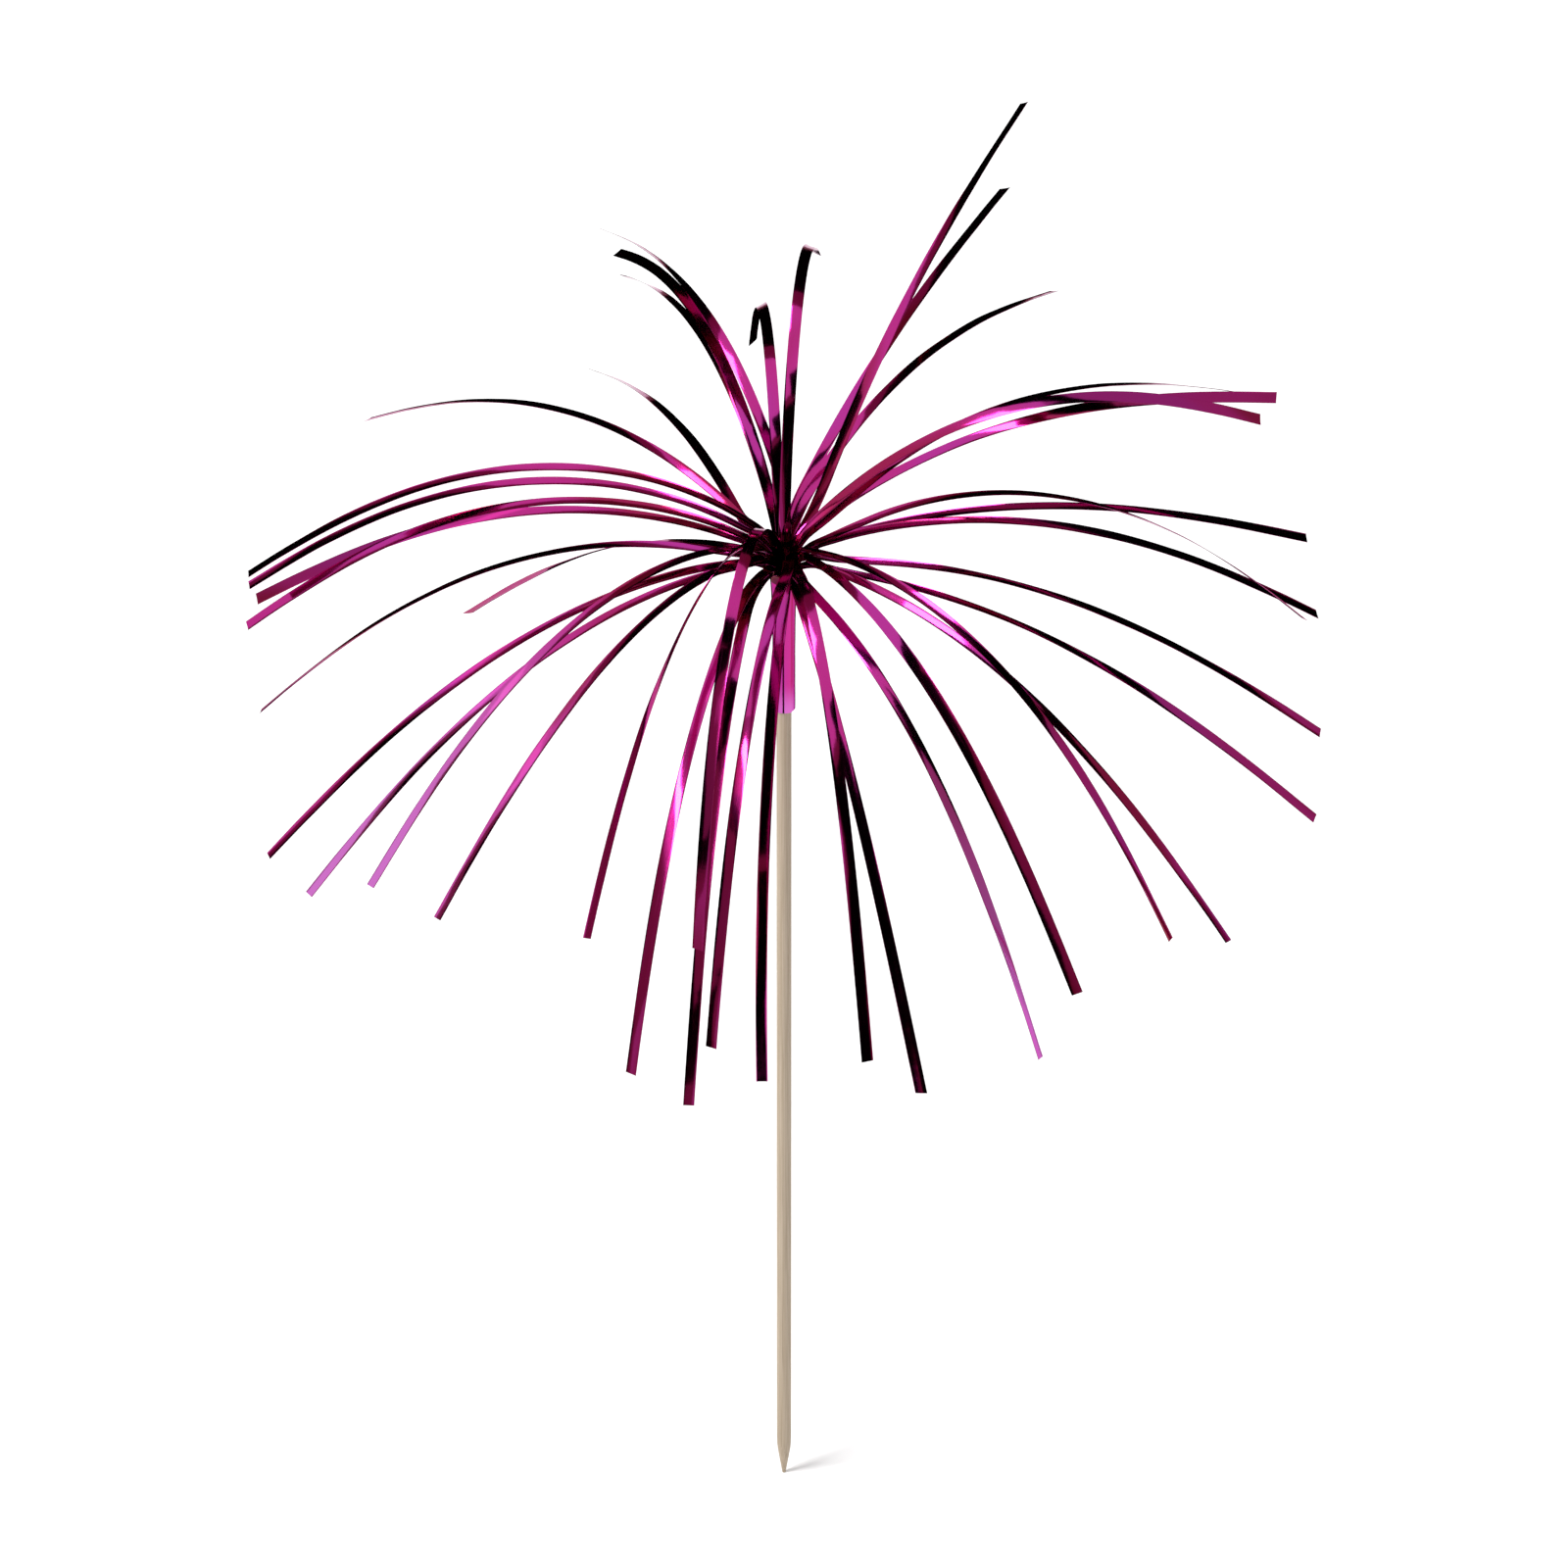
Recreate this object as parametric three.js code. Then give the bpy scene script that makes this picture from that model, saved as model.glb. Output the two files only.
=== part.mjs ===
// Cocktail pick with a burst of metallised film strands on a pointed bamboo stick.
//
// A strip of film is slit into narrow strands along one edge. Its uncut edge is wound tightly round
// the top of the stick, over a layer of glue, and the strands spring up out of the winding, spread
// all round and droop under their own weight like a fountain.
//
// Millimetres, +Z up. The origin is the point of the stick, and the stick stands along +Z.

import * as THREE from 'three';
import { mergeVertices } from 'three/addons/utils/BufferGeometryUtils.js';

// Bamboo stick
const STICK_LENGTH = 150;
const STICK_DIAMETER = 2.0;
const POINT_LENGTH = 5;
const POINT_DIAMETER = 0.5;
const POINT_SHOULDER = 1.5;
const STICK_CHAMFER = 0.15;

// Glue between the stick and the first turn of film
const GLUE_THICKNESS = 0.055;
const GLUE_CLEARANCE = 0.02;
const GLUE_SETBACK = 1.0;

// Film strip: thickness, the uncut band that is wound, and the slit strands. The band's turns lie
// tight along its lower part, and above that they loosen towards the strands.
const FILM_THICKNESS = 0.05;
const TIGHT_CLEARANCE = 0.006;
const LOOSE_CLEARANCE = 0.05;
const BAND_HEIGHT = 20;
const TIGHT_HEIGHT = 11;
const BAND_TOP_BELOW_STICK_END = 1.5;
const EDGE_RISE_PER_TURN = 0.5;
const STRAND_WIDTH = 1.5;
const SLIT_WIDTH = 0.04;
const STRAND_LENGTH = 80;

// How a strand leaves the winding
const ROOT_GAP = 0.12;
const ROOT_BEND_LENGTH = 4;
const FLATTEN_LENGTH = 7;
const VEER_LENGTH = 14;
const TWIST_START = 8;
const DROOP_EXPONENT = 1.7;
const CREASE_ANGLE = 7;

// Where the winding starts, as an angle from +X seen from above; it runs anticlockwise
const WINDING_START = 48;

// Fineness of the solids
const ROUND_SIDES = 20;
const STRAND_STEPS = 15;
const STEPS_BETWEEN_SECTIONS = 4;
const FLARE_STEPS = 3;
const ROOT_DENSITY = 1.5;

// The strands in winding order, from the inner end of the strip outwards, all angles in degrees.
// veer: how far the strand swings sideways from the place where it leaves the winding
// launch: its slope above the horizon where it has left the crown
// droop: its slope at the tip, below the horizon when negative
// twist: how far it has turned about its own length at the tip
const STRANDS = [
  { veer: -1, launch: 80, droop: -38, twist: 20 },
  { veer: 6, launch: 44, droop: -40, twist: -15 },
  { veer: 20, launch: 68, droop: -72, twist: 10 },
  { veer: 4, launch: 27, droop: -55, twist: -15 },
  { veer: 3, launch: 44, droop: -30, twist: 60 },
  { veer: -7, launch: 69, droop: -50, twist: -40 },
  { veer: -3, launch: 38, droop: -40, twist: -20 },
  { veer: 8, launch: 54, droop: -52, twist: 50 },
  { veer: -9, launch: 19, droop: -44, twist: 30 },
  { veer: 19, launch: 42, droop: -27, twist: -20 },
  { veer: 27, launch: 57, droop: -23, twist: 35 },
  { veer: -12, launch: 36, droop: -33, twist: 5 },
  { veer: 7, launch: 38, droop: -46, twist: 12 },
  { veer: -20, launch: 32, droop: -64, twist: -10 },
  { veer: 29, launch: 43, droop: -46, twist: -25 },
  { veer: 20, launch: 44, droop: 10, twist: -35 },
  { veer: 1, launch: 54, droop: -26, twist: -30 },
  { veer: 3, launch: 34, droop: -42, twist: -30 },
  { veer: 6, launch: 32, droop: -36, twist: 15 },
  { veer: -10, launch: 22, droop: -54, twist: 20 },
  { veer: 19, launch: 3, droop: -40, twist: 20 },
  { veer: -15, launch: 31, droop: -19, twist: 55 },
  { veer: 4, launch: 46, droop: -27, twist: 30 },
  { veer: 2, launch: 20, droop: -37, twist: -55 },
  { veer: -7, launch: 18, droop: -44, twist: 5 },
  { veer: -9, launch: 14, droop: -95, twist: 0 },
  { veer: -4, launch: 11, droop: -46, twist: -10 },
  { veer: -8, launch: 16, droop: -36, twist: 12 },
  { veer: -18, launch: 34, droop: -20, twist: -12 },
  { veer: -24, launch: 12, droop: -26, twist: 28 },
  { veer: -13, launch: 20, droop: -47, twist: 8 },
  { veer: 15, launch: 20, droop: -62, twist: -15 },
  { veer: 10, launch: 11, droop: -54, twist: -42 },
  { veer: 11, launch: 0, droop: -42, twist: 28 },
  { veer: -11, launch: 10, droop: -26, twist: 20 },
  { veer: -20, launch: 27, droop: 0, twist: -25 },
  { veer: -7, launch: -14, droop: -44, twist: 25 },
  { veer: 11, launch: 10, droop: -45, twist: 5 },
  { veer: 24, launch: 12, droop: -66, twist: 10 },
  { veer: -3, launch: -8, droop: -35, twist: 15 },
];

// Derived sizes
const STICK_RADIUS = STICK_DIAMETER / 2;
const GLUE_INNER_RADIUS = STICK_RADIUS + GLUE_CLEARANCE;
const GLUE_OUTER_RADIUS = GLUE_INNER_RADIUS + GLUE_THICKNESS;
const TIGHT_PITCH = FILM_THICKNESS + TIGHT_CLEARANCE;
const LOOSE_PITCH = FILM_THICKNESS + LOOSE_CLEARANCE;
const FIRST_TURN_RADIUS = GLUE_OUTER_RADIUS + GLUE_CLEARANCE + FILM_THICKNESS / 2;
const SLOT_PITCH = STRAND_WIDTH + SLIT_WIDTH;
const STRIP_LENGTH = STRANDS.length * SLOT_PITCH;
const WINDING_ANGLE = windingAngleAt(STRIP_LENGTH);
const BAND_TOP = STICK_LENGTH - BAND_TOP_BELOW_STICK_END;
const BAND_BOTTOM = BAND_TOP - BAND_HEIGHT;

const bamboo = new THREE.MeshStandardMaterial({ color: 0xd8c4a4, roughness: 0.65, metalness: 0 });
const glue = new THREE.MeshStandardMaterial({ color: 0xf2ead8, roughness: 0.3, metalness: 0 });
const foil = new THREE.MeshStandardMaterial({ color: 0xd23a96, roughness: 0.2, metalness: 1 });

// Radius of the wound film's middle surface after it has turned through an angle: by default at the
// band's top edge, where the turns lie loosest.
function windingRadiusAt(angle, pitch = LOOSE_PITCH) {
  return FIRST_TURN_RADIUS + (pitch * angle) / (2 * Math.PI);
}

// Angle that a length of strip has turned through, from the arc length of its spiral.
function windingAngleAt(length) {
  const growth = LOOSE_PITCH / (4 * Math.PI);
  const root = Math.sqrt(FIRST_TURN_RADIUS ** 2 + 4 * growth * length);
  return (root - FIRST_TURN_RADIUS) / (2 * growth);
}

// Height of the band's top edge, which climbs towards the inner turns.
function bandTopAt(angle) {
  return BAND_TOP + (EDGE_RISE_PER_TURN * (WINDING_ANGLE - angle)) / (2 * Math.PI);
}

function smoothStep(value) {
  return THREE.MathUtils.smoothstep(value, 0, 1);
}

function turnedAbout(radius, azimuth, height) {
  return new THREE.Vector3(radius * Math.cos(azimuth), radius * Math.sin(azimuth), height);
}

// A closed strip from a row of sections. A section has two rows of points, one for each face of the
// strip, and the rows run side by side from one edge of the strip to the other.
function stripSolid(sections) {
  const across = sections[0].near.length;
  const ring = 2 * across;
  const positions = [];
  for (const section of sections) {
    for (const point of [...section.near, ...section.far.slice().reverse()]) {
      positions.push(point.x, point.y, point.z);
    }
  }
  const triangles = [];
  const quad = (a, b, c, d) => triangles.push(a, b, c, a, c, d);
  for (let k = 0; k < sections.length - 1; k += 1) {
    const here = k * ring;
    const next = here + ring;
    for (let j = 0; j < ring; j += 1) {
      const beside = (j + 1) % ring;
      quad(here + beside, here + j, next + j, next + beside);
    }
  }
  const last = (sections.length - 1) * ring;
  for (let j = 0; j < across - 1; j += 1) {
    const opposite = ring - 1 - j;
    quad(j, j + 1, opposite - 1, opposite);
    quad(last + opposite, last + opposite - 1, last + j + 1, last + j);
  }
  const geometry = new THREE.BufferGeometry();
  geometry.setAttribute('position', new THREE.Float32BufferAttribute(positions, 3));
  geometry.setIndex(triangles);
  geometry.computeVertexNormals();
  return geometry;
}

// A closed solid of revolution about +Z, its corners in line with those of the winding.
function turnedSolid(profile) {
  const points = profile.map(([radius, height]) => new THREE.Vector2(radius, height));
  const lathe = new THREE.LatheGeometry(points, ROUND_SIDES);
  lathe.rotateX(Math.PI / 2);
  lathe.rotateZ(THREE.MathUtils.degToRad(WINDING_START));
  lathe.deleteAttribute('normal');
  lathe.deleteAttribute('uv');
  const solid = mergeVertices(lathe);
  solid.computeVertexNormals();
  return solid;
}

// The stick: a round bamboo rod, sawn square at the top and ground to a point below. The cone
// softens into the rod over a short shoulder.
function stickGeometry() {
  const pointRadius = POINT_DIAMETER / 2;
  const slope = (STICK_RADIUS - pointRadius) / POINT_LENGTH;
  const shoulderStart = POINT_LENGTH - POINT_SHOULDER / 2;
  return turnedSolid([
    [0, 0],
    [pointRadius, 0],
    [pointRadius + slope * shoulderStart, shoulderStart],
    [STICK_RADIUS - (slope * POINT_SHOULDER) / 8, POINT_LENGTH + POINT_SHOULDER / 8],
    [STICK_RADIUS, POINT_LENGTH + POINT_SHOULDER],
    [STICK_RADIUS, STICK_LENGTH - STICK_CHAMFER],
    [STICK_RADIUS - STICK_CHAMFER, STICK_LENGTH],
    [0, STICK_LENGTH],
  ]);
}

// The thin layer of glue round the stick, hidden under the first turn of film.
function glueGeometry() {
  const bottom = BAND_BOTTOM + GLUE_SETBACK;
  const top = BAND_TOP - GLUE_SETBACK;
  return turnedSolid([
    [GLUE_INNER_RADIUS, bottom],
    [GLUE_OUTER_RADIUS, bottom],
    [GLUE_OUTER_RADIUS, top],
    [GLUE_INNER_RADIUS, top],
    [GLUE_INNER_RADIUS, bottom],
  ]);
}

// Places up the band at one angle of the winding: height, and distance from turn to turn there.
function bandLevelsAt(angle) {
  const flareStart = BAND_BOTTOM + TIGHT_HEIGHT;
  const levels = [{ height: BAND_BOTTOM, pitch: TIGHT_PITCH }];
  for (let k = 0; k <= FLARE_STEPS; k += 1) {
    const share = k / FLARE_STEPS;
    levels.push({
      height: THREE.MathUtils.lerp(flareStart, bandTopAt(angle), share),
      pitch: THREE.MathUtils.lerp(TIGHT_PITCH, LOOSE_PITCH, share ** 2),
    });
  }
  return levels;
}

// The uncut edge of the strip as one unbroken spiral of film.
function bandGeometry() {
  const start = THREE.MathUtils.degToRad(WINDING_START);
  const step = (2 * Math.PI) / ROUND_SIDES;
  const angles = [];
  for (let angle = 0; angle < WINDING_ANGLE; angle += step) {
    angles.push(angle);
  }
  angles.push(WINDING_ANGLE);
  const sections = angles.map((angle) => {
    const face = (offset) =>
      bandLevelsAt(angle).map(({ height, pitch }) =>
        turnedAbout(windingRadiusAt(angle, pitch) + offset, start + angle, height),
      );
    return { near: face(FILM_THICKNESS / 2), far: face(-FILM_THICKNESS / 2) };
  });
  return stripSolid(sections);
}

// Slope above the horizon, in degrees, at a distance along a strand.
function slopeAt(strand, distance) {
  const left = 1 - distance / STRAND_LENGTH;
  const free = strand.droop + (strand.launch - strand.droop) * left ** DROOP_EXPONENT;
  return THREE.MathUtils.lerp(90, free, smoothStep(distance / ROOT_BEND_LENGTH));
}

// One section of a strand: a shallow roof of two flats. At the root it follows the winding's
// curve, and further out only a light crease is left.
function strandSection(centre, frame, rootFold, distance) {
  const crease = THREE.MathUtils.degToRad(CREASE_ANGLE);
  const fold = THREE.MathUtils.lerp(rootFold, crease, smoothStep(distance / FLATTEN_LENGTH));
  const half = STRAND_WIDTH / 2;
  const row = (offset) =>
    [-1, 0, 1].map((side) =>
      centre
        .clone()
        .addScaledVector(frame.across, side * half * Math.cos(fold))
        .addScaledVector(frame.outward, offset - Math.abs(side) * half * Math.sin(fold)),
    );
  return { near: row(-FILM_THICKNESS / 2), far: row(FILM_THICKNESS / 2) };
}

// The strand's own directions: along it, out of its outer face, and across it.
function strandFrame(azimuth, slope, twist) {
  const along = new THREE.Vector3(
    Math.cos(azimuth) * Math.cos(slope),
    Math.sin(azimuth) * Math.cos(slope),
    Math.sin(slope),
  );
  const outward = new THREE.Vector3(
    Math.cos(azimuth) * Math.sin(slope),
    Math.sin(azimuth) * Math.sin(slope),
    -Math.cos(slope),
  );
  outward.applyAxisAngle(along, twist);
  const across = new THREE.Vector3().crossVectors(along, outward);
  return { along, outward, across };
}

// A strand, from its root on the band's top edge to its tip.
function strandGeometry(strand, index) {
  const angle = windingAngleAt((index + 0.5) * SLOT_PITCH);
  const radius = windingRadiusAt(angle);
  const rootAzimuth = THREE.MathUtils.degToRad(WINDING_START) + angle;
  const rootFold = STRAND_WIDTH / (4 * radius);
  const rootRadius = radius + (radius * (1 - Math.cos(rootFold))) / 2;
  const frameAt = (distance) => {
    const swung = strand.veer * smoothStep(distance / VEER_LENGTH);
    const turned = strand.twist * smoothStep((distance - TWIST_START) / (STRAND_LENGTH - TWIST_START));
    return strandFrame(
      rootAzimuth + THREE.MathUtils.degToRad(swung),
      THREE.MathUtils.degToRad(slopeAt(strand, distance)),
      THREE.MathUtils.degToRad(turned),
    );
  };
  const place = turnedAbout(rootRadius, rootAzimuth, bandTopAt(angle) + ROOT_GAP);
  const sections = [strandSection(place, frameAt(0), rootFold, 0)];
  let distance = 0;
  for (let k = 1; k <= STRAND_STEPS; k += 1) {
    const target = STRAND_LENGTH * (k / STRAND_STEPS) ** ROOT_DENSITY;
    const stride = (target - distance) / STEPS_BETWEEN_SECTIONS;
    for (let m = 0; m < STEPS_BETWEEN_SECTIONS; m += 1) {
      place.addScaledVector(frameAt(distance + stride / 2).along, stride);
      distance += stride;
    }
    sections.push(strandSection(place, frameAt(distance), rootFold, distance));
  }
  return stripSolid(sections);
}

function namedMesh(name, geometry, material) {
  const mesh = new THREE.Mesh(geometry, material);
  mesh.name = name;
  return mesh;
}

function buildPick() {
  const pick = new THREE.Group();
  pick.add(namedMesh('stick', stickGeometry(), bamboo));
  pick.add(namedMesh('glue_layer', glueGeometry(), glue));
  const film = new THREE.Group();
  film.add(namedMesh('film_band', bandGeometry(), foil));
  STRANDS.forEach((strand, index) => {
    const number = String(index + 1).padStart(2, '0');
    film.add(namedMesh(`strand_${number}`, strandGeometry(strand, index), foil));
  });
  pick.add(film);
  return pick;
}

export default buildPick();
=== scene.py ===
"""Looks of a cocktail pick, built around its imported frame.

A strip of metallised film is wound and glued round the top of a pointed bamboo stick. Its slit edge
springs up out of the winding and falls all round as a fountain of narrow strands.

Lengths are metres and +Z is up, as in the frame, whose origin is the point of the stick.
"""

import logging
import math
from bisect import bisect_right
from dataclasses import dataclass, field
from enum import Enum
from typing import Any, Union

import bmesh
import bpy
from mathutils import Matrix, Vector, noise


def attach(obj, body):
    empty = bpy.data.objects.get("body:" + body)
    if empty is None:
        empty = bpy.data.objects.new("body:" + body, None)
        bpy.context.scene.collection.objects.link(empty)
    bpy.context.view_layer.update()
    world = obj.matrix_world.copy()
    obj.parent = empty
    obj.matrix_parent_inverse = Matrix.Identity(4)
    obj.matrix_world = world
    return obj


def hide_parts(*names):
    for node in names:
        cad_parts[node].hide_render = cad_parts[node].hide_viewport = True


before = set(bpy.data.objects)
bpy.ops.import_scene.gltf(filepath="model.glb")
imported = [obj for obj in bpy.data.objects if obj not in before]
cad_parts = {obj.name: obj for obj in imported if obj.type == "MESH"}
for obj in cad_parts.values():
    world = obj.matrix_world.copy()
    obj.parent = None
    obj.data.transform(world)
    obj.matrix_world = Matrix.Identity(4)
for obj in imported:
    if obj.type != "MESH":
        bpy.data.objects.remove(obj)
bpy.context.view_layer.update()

log = logging.getLogger("pick")

MM = 0.001
MERGE_DISTANCE = 1e-6
FILM_PLACE = "film_place"
# Share of the orchid tone: a painted sheen on some strands, a paler foot on the sleeve
FILM_PALING = "film_paling"
FILM_SHADE = "film_shade"
WHITE = (1.0, 1.0, 1.0, 1.0)

# Positions of the Mix node's colour sockets, whose names other sockets of the node have too
MIX_FIRST, MIX_SECOND, MIX_RESULT = 6, 7, 2

# Rays that don't see the studio's cards
CARDS_HIDDEN_FROM = ("camera", "diffuse", "transmission", "shadow", "volume_scatter")

Colour = tuple[float, float, float]
Ramp = tuple[float, float]

# Strands whose film is rolled further about its own length than its CAD solid, over the first few
# centimetres from the root, in degrees, anticlockwise seen from the tip
LEANS = {
    "strand_04": -3.0,
    "strand_08": 64.0,
    "strand_09": 10.0,
    "strand_14": 18.0,
    "strand_19": 6.0,
    "strand_20": -8.0,
    "strand_21": -4.0,
    "strand_27": 4.0,
    "strand_28": 8.0,
    "strand_32": 21.0,
    "strand_33": 8.0,
    "strand_34": -8.0,
    "strand_36": 8.0,
    "strand_38": -6.0,
    "strand_40": -16.0,
}

# Strands given a painted sheen that turns them paler and more violet towards the tip, as a share of
# the orchid tone
PAINTED_SHEENS = {"strand_13": 1.0, "strand_25": 1.0, "strand_33": 1.0, "strand_19": 0.3}


class Slot(Enum):
    """Names of material slots, passed along with the scene's own pieces and not used."""

    BAMBOO = "bamboo"
    FOIL = "foil"


class NodeBook:
    """The nodes of one material or of the world."""

    def __init__(self, tree: bpy.types.NodeTree) -> None:
        """Starts from an empty tree.

        Args:
            tree: the node tree to fill.
        """
        self.tree = tree
        tree.nodes.clear()

    def node(
        self,
        kind: str,
        settings: dict[str, Any] | None = None,
        inputs: dict[str | int, Any] | None = None,
    ) -> bpy.types.Node:
        """Adds a node.

        Args:
            kind: the node's type without its ShaderNode prefix.
            settings: attributes of the node, set before its sockets are used.
            inputs: a number, colour, socket or Value for each input, by name or position.

        Returns:
            The new node.
        """
        made = self.tree.nodes.new(f"ShaderNode{kind}")
        for name, setting in (settings or {}).items():
            setattr(made, name, setting)
        for name, value in (inputs or {}).items():
            source = value.socket if isinstance(value, Value) else value
            if isinstance(source, bpy.types.NodeSocket):
                self.tree.links.new(source, made.inputs[name])
            else:
                made.inputs[name].default_value = source
        return made

    def value(
        self,
        kind: str,
        settings: dict[str, Any] | None = None,
        inputs: dict[str | int, Any] | None = None,
        output: str | int = 0,
    ) -> "Value":
        """Adds a node and gives one of its outputs as a Value.

        Args:
            kind: the node's type without its ShaderNode prefix.
            settings: attributes of the node.
            inputs: what its sockets hold.
            output: the name or position of the output.

        Returns:
            The output, ready for arithmetic.
        """
        return Value(self, self.node(kind, settings, inputs).outputs[output])

    def blend(self, share: "Value", first: Any, second: Any) -> bpy.types.NodeSocket:
        """Mixes two colours.

        Args:
            share: how much of the second colour there is, from 0 to 1.
            first: a colour or colour socket.
            second: a colour or colour socket.

        Returns:
            The mixed colour's socket.
        """
        colours = {
            "Factor": share,
            MIX_FIRST: (*first, 1.0) if isinstance(first, tuple) else first,
            MIX_SECOND: (*second, 1.0) if isinstance(second, tuple) else second,
        }
        return self.node("Mix", {"data_type": "RGBA"}, colours).outputs[MIX_RESULT]

    def show(self, shader: bpy.types.Node, output: str = "OutputMaterial") -> None:
        """Connects a shader to the output of the material or the world."""
        self.node(output, inputs={"Surface": shader.outputs[0]})


@dataclass(frozen=True)
class Value:
    """A number's socket. Arithmetic on it adds Math nodes."""

    book: NodeBook
    socket: bpy.types.NodeSocket

    def _math(self, operation: str, *operands: Union["Value", float]) -> "Value":
        """Adds a Math node of one operation and gives its result."""
        inputs = dict(enumerate(operands))
        return self.book.value("Math", {"operation": operation}, inputs)

    def __add__(self, other: Union["Value", float]) -> "Value":
        """Self plus other."""
        return self._math("ADD", self, other)

    __radd__ = __add__

    def __sub__(self, other: Union["Value", float]) -> "Value":
        """Self minus other."""
        return self._math("SUBTRACT", self, other)

    def __mul__(self, other: Union["Value", float]) -> "Value":
        """Self times other."""
        return self._math("MULTIPLY", self, other)

    def __abs__(self) -> "Value":
        """Self without its sign."""
        return self._math("ABSOLUTE", self)

    def rises(self, low: float, high: float) -> "Value":
        """Goes smoothly from 0 to 1 while self goes from low to high.

        Args:
            low: where the rise starts.
            high: where it ends.

        Returns:
            The eased value.
        """
        settings = {"interpolation_type": "SMOOTHSTEP"}
        limits = {"Value": self, "From Min": low, "From Max": high}
        return self.book.value("MapRange", settings, limits)


@dataclass(frozen=True)
class Grain:
    """Noise: how often it changes in a metre along each axis, and its layers of finer detail."""

    per_metre: tuple[float, float, float]
    detail: float

    def over(self, book: NodeBook, place: bpy.types.NodeSocket) -> Value:
        """Adds the noise.

        Args:
            book: the material's nodes.
            place: the coordinates that it follows, in metres.

        Returns:
            The noise, from 0 to 1.
        """
        scaled = book.node("VectorMath", {"operation": "MULTIPLY"}, {0: place, 1: self.per_metre})
        inputs = {"Vector": scaled.outputs[0], "Scale": 1.0, "Detail": self.detail}
        return book.value("TexNoise", inputs=inputs)


def new_material(name: str) -> tuple[bpy.types.Material, NodeBook]:
    """Makes an empty node material.

    Args:
        name: the material's name.

    Returns:
        The material and its nodes.
    """
    material = bpy.data.materials.new(name)
    material.use_nodes = True
    return material, NodeBook(material.node_tree)


@dataclass(frozen=True)
class FoilFinish:
    """Metallised film under a dyed lacquer: a coloured mirror with a clear skin."""

    magenta: Colour = (0.48, 0.018, 0.23)
    violet: Colour = (0.46, 0.024, 0.29)
    crimson: Colour = (0.32, 0.005, 0.07)
    # Tone of the painted sheen on some strands and of the sleeve's paler foot
    orchid: Colour = (0.62, 0.16, 0.58)
    # Painted shade where the strands crowd together at their roots
    root_shade: Colour = (0.10, 0.002, 0.03)
    cut_edge: Colour = (0.30, 0.008, 0.12)
    edge_tint: Colour = (0.55, 0.10, 0.35)
    half_width: float = 0.75 * MM
    edge_width: float = 0.04 * MM
    roughness: float = 0.09
    scuff_roughness: float = 0.17
    coat: float = 0.25
    coat_roughness: float = 0.05
    ripple_height: float = 0.006 * MM
    hue: Grain = Grain((150.0, 28.0, 1.0), 1.0)
    scuffs: Grain = Grain((2600.0, 130.0, 1.0), 4.0)
    streaks: Grain = Grain((5200.0, 60.0, 1.0), 3.0)
    ripples: Grain = Grain((500.0, 900.0, 1.0), 2.0)
    violet_ramp: Ramp = (0.52, 0.62)
    crimson_ramp: Ramp = (0.48, 0.36)
    scuff_ramp: Ramp = (0.5, 0.8)
    streak_share: float = 0.25
    ripple_share: float = 0.75

    def material(self) -> bpy.types.Material:
        """Makes the foil. Its pattern follows the film through the film_place attribute.

        Returns:
            The material.
        """
        material, book = new_material("magenta_foil")
        place = book.node("Attribute", {"attribute_name": FILM_PLACE}).outputs["Vector"]
        parts = book.node("SeparateXYZ", inputs={"Vector": place}).outputs
        across = Value(book, parts["X"])
        hue = self.hue.over(book, place)
        scuffs = self.scuffs.over(book, place).rises(*self.scuff_ramp)
        streaks = self.streaks.over(book, place)
        ripples = self.ripples.over(book, place)
        edge = abs(across).rises(self.half_width - self.edge_width, self.half_width)
        lacquer = book.blend(hue.rises(*self.violet_ramp), self.magenta, self.violet)
        lacquer = book.blend(hue.rises(*self.crimson_ramp), lacquer, self.crimson)
        # Blends in the orchid tone, as a painted sheen towards some strands' tips and a paler foot
        # on the sleeve, and then painted shade where the strands crowd at their roots
        for name, tone in ((FILM_PALING, self.orchid), (FILM_SHADE, self.root_shade)):
            share = book.value("Attribute", {"attribute_name": name}, output="Fac")
            lacquer = book.blend(share, lacquer, tone)
        skin = self.roughness + scuffs * (self.scuff_roughness - self.roughness)
        relief = book.node(
            "Bump",
            inputs={
                "Strength": 1.0,
                "Distance": self.ripple_height,
                "Height": streaks * self.streak_share + ripples * self.ripple_share,
            },
        )
        surface = book.node(
            "BsdfPrincipled",
            inputs={
                "Base Color": book.blend(edge, lacquer, self.cut_edge),
                "Metallic": 1.0,
                "Roughness": skin,
                "Specular Tint": (*self.edge_tint, 1.0),
                "Coat Weight": self.coat,
                "Coat Roughness": self.coat_roughness,
                "Normal": relief.outputs["Normal"],
            },
        )
        book.show(surface)
        return material


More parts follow.
